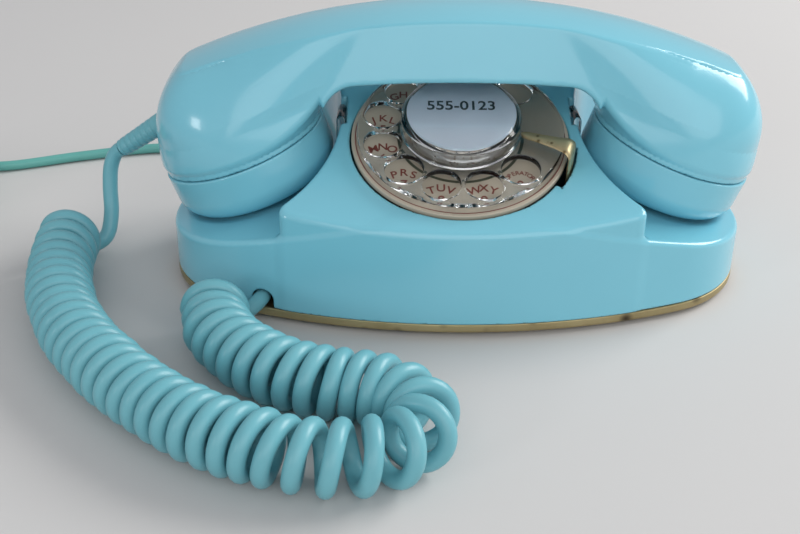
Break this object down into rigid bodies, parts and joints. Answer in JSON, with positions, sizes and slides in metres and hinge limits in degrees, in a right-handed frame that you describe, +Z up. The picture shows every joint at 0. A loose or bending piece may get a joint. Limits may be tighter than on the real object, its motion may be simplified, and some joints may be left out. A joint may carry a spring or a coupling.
{
  "type": "rotary telephone",
  "caption": "Compact oval bedroom telephone with a tilted rotary dial, a handset resting across its cradle, a curly handset cord and a line cord with its plug.",
  "frame": {"origin": "on the surface the telephone stands on, under the middle of the base and handset", "axes": "+Z up, +X along the handset to the right of the person dialling, -Y towards that person"},
  "size_m": [0.3688, 0.2481, 0.0982],
  "materials": {
    "aqua_plastic": "glossy moulded aqua blue plastic",
    "aqua_cord": "satin teal vinyl jacket",
    "green_cord": "satin green-blue vinyl jacket",
    "chromate_steel": "yellow chromated pressed steel, stained",
    "rubber": "dark moulded rubber",
    "steel": "plated steel",
    "brass": "plated brass, a little dulled",
    "number_plate_cream": "beige plate with printed red-brown numbers",
    "clear_plastic": "clear moulded acrylic",
    "card": "pale blue printed card",
    "winding": "copper winding under varnish",
    "phenolic": "dark brown moulded phenolic",
    "nylon": "off-white nylon"
  },
  "bodies": {
    "base": {"housing": "aqua_plastic", "handset_cord_lead": "aqua_cord", "handset_cord_coil": "aqua_cord", "handset_cord_tail": "aqua_cord", "line_cord_run": "green_cord", "line_cord_coil": "green_cord", "line_cord_end": "green_cord", "base_plate": "chromate_steel", "foot_front_left": "rubber", "foot_front_right": "rubber", "foot_back_right": "rubber", "foot_back_left": "rubber", "line_cord_grommet": "rubber", "cord_tie": "rubber", "housing_screw_left": "steel", "housing_screw_right": "steel", "governor_drum": "steel", "return_spring": "steel", "dial_frame": "steel", "switch_bracket": "steel", "lever_pin": "steel", "ringer_frame": "steel", "gong_screw": "steel", "clapper_pin": "steel", "volume_pin": "steel", "terminal_strip": "steel", "handset_cord_anchor": "steel", "lamp_socket": "brass", "gong": "brass", "plug_prongs": "brass", "finger_stop": "brass", "number_plate": "number_plate_cream", "dial_lamp": "clear_plastic", "ringer_coil": "winding", "pulse_contacts": "phenolic", "hook_contacts": "phenolic", "network_block": "phenolic", "plug_body": "nylon"},
    "finger_wheel": {"finger_wheel": "clear_plastic", "card_cover": "clear_plastic", "dial_card": "card", "card_retainer": "steel", "main_shaft": "steel", "main_gear": "brass"},
    "handset": {"handset_shell": "aqua_plastic", "receiver_cap": "aqua_plastic", "transmitter_cap": "aqua_plastic", "receiver_unit": "steel", "transmitter_unit": "brass", "transmitter_cup": "phenolic", "handset_strain_relief": "aqua_cord"},
    "pulse_gear": {"pulse_gear": "brass"},
    "governor": {"governor": "brass"},
    "plunger_left": {"plunger_left": "clear_plastic"},
    "plunger_right": {"plunger_right": "clear_plastic"},
    "hook_lever": {"hook_lever": "steel"},
    "clapper": {"clapper": "steel"},
    "volume_wheel": {"volume_wheel": "nylon"}
  },
  "joints": [
    {"name": "finger_wheel_turn", "type": "hinge", "parent": "base", "child": "finger_wheel", "pos_m": [0, -0.0108, 0.05447], "axis": [0, -0.3535, 0.9354], "range_deg": [-320, 0], "stiffness_Nm_per_rad": 0.004, "springref_deg": 85.94},
    {"name": "pulse_gear_turn", "type": "hinge", "parent": "base", "child": "pulse_gear", "pos_m": [-0.02105, -0.01797, 0.05176], "axis": [0, -0.3535, 0.9354], "range_deg": [0, 1100]},
    {"name": "governor_turn", "type": "hinge", "parent": "base", "child": "governor", "pos_m": [-0.02244, -0.00306, 0.0574], "axis": [0, -0.3535, 0.9354], "range_deg": [-1100, 0]},
    {"name": "handset_lift", "type": "slide", "parent": "base", "child": "handset", "axis": [0, 0, 1], "range_m": [0, 0.1]},
    {"name": "plunger_left_slide", "type": "slide", "parent": "base", "child": "plunger_left", "axis": [0, 0, 1], "range_m": [0, 0.0051]},
    {"name": "plunger_right_slide", "type": "slide", "parent": "base", "child": "plunger_right", "axis": [0, 0, 1], "range_m": [0, 0.0051]},
    {"name": "hook_lever_turn", "type": "hinge", "parent": "base", "child": "hook_lever", "pos_m": [0, 0.0234, 0.022], "axis": [1, 0, 0], "range_deg": [-14.5, 0]},
    {"name": "clapper_swing", "type": "hinge", "parent": "base", "child": "clapper", "pos_m": [-0.034, 0.024, 0.0088], "axis": [0, 0, 1], "range_deg": [-4, 11], "stiffness_Nm_per_rad": 0.002},
    {"name": "volume_wheel_turn", "type": "hinge", "parent": "base", "child": "volume_wheel", "pos_m": [-0.026, -0.024, 0.0045], "axis": [0, 0, 1], "range_deg": [0, 90]}
  ],
  "couplings": [
    {"joint": "pulse_gear_turn", "follows": "finger_wheel_turn", "ratio": -3},
    {"joint": "governor_turn", "follows": "finger_wheel_turn", "ratio": 3},
    {"joint": "plunger_left_slide", "follows": "handset_lift", "ratio": 0.05},
    {"joint": "plunger_right_slide", "follows": "handset_lift", "ratio": 0.05},
    {"joint": "hook_lever_turn", "follows": "handset_lift", "rad_per_m": -2.5}
  ]
}
